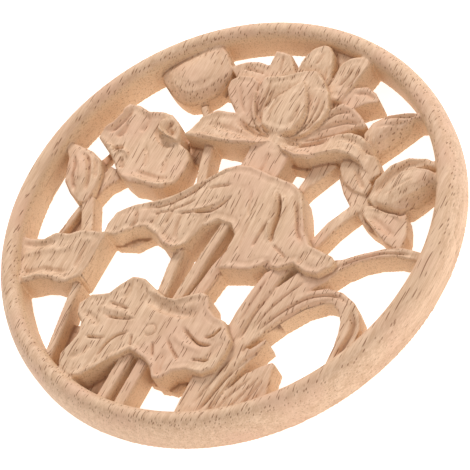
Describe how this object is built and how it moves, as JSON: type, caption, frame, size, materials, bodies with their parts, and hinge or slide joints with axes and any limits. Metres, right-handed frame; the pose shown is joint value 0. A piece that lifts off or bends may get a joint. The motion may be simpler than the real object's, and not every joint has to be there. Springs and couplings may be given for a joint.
{
  "type": "carved rosette",
  "caption": "Round openwork wood carving of a lotus pond inside a plain ring, with a flat back for fixing to a door, a cabinet or a wall.",
  "frame": {"origin": "centre of the ring, on the flat back", "axes": "+Z out of the carved face, +Y up the scene and along the grain, +X to the scene's right seen from the front"},
  "size_m": [0.15, 0.15, 0.012],
  "materials": {
    "wood": "bare pale pinkish tan wood with short dark vessel lines, lightly sanded, unpainted"
  },
  "bodies": {
    "root": {"rosette": "wood"}
  },
  "joints": []
}
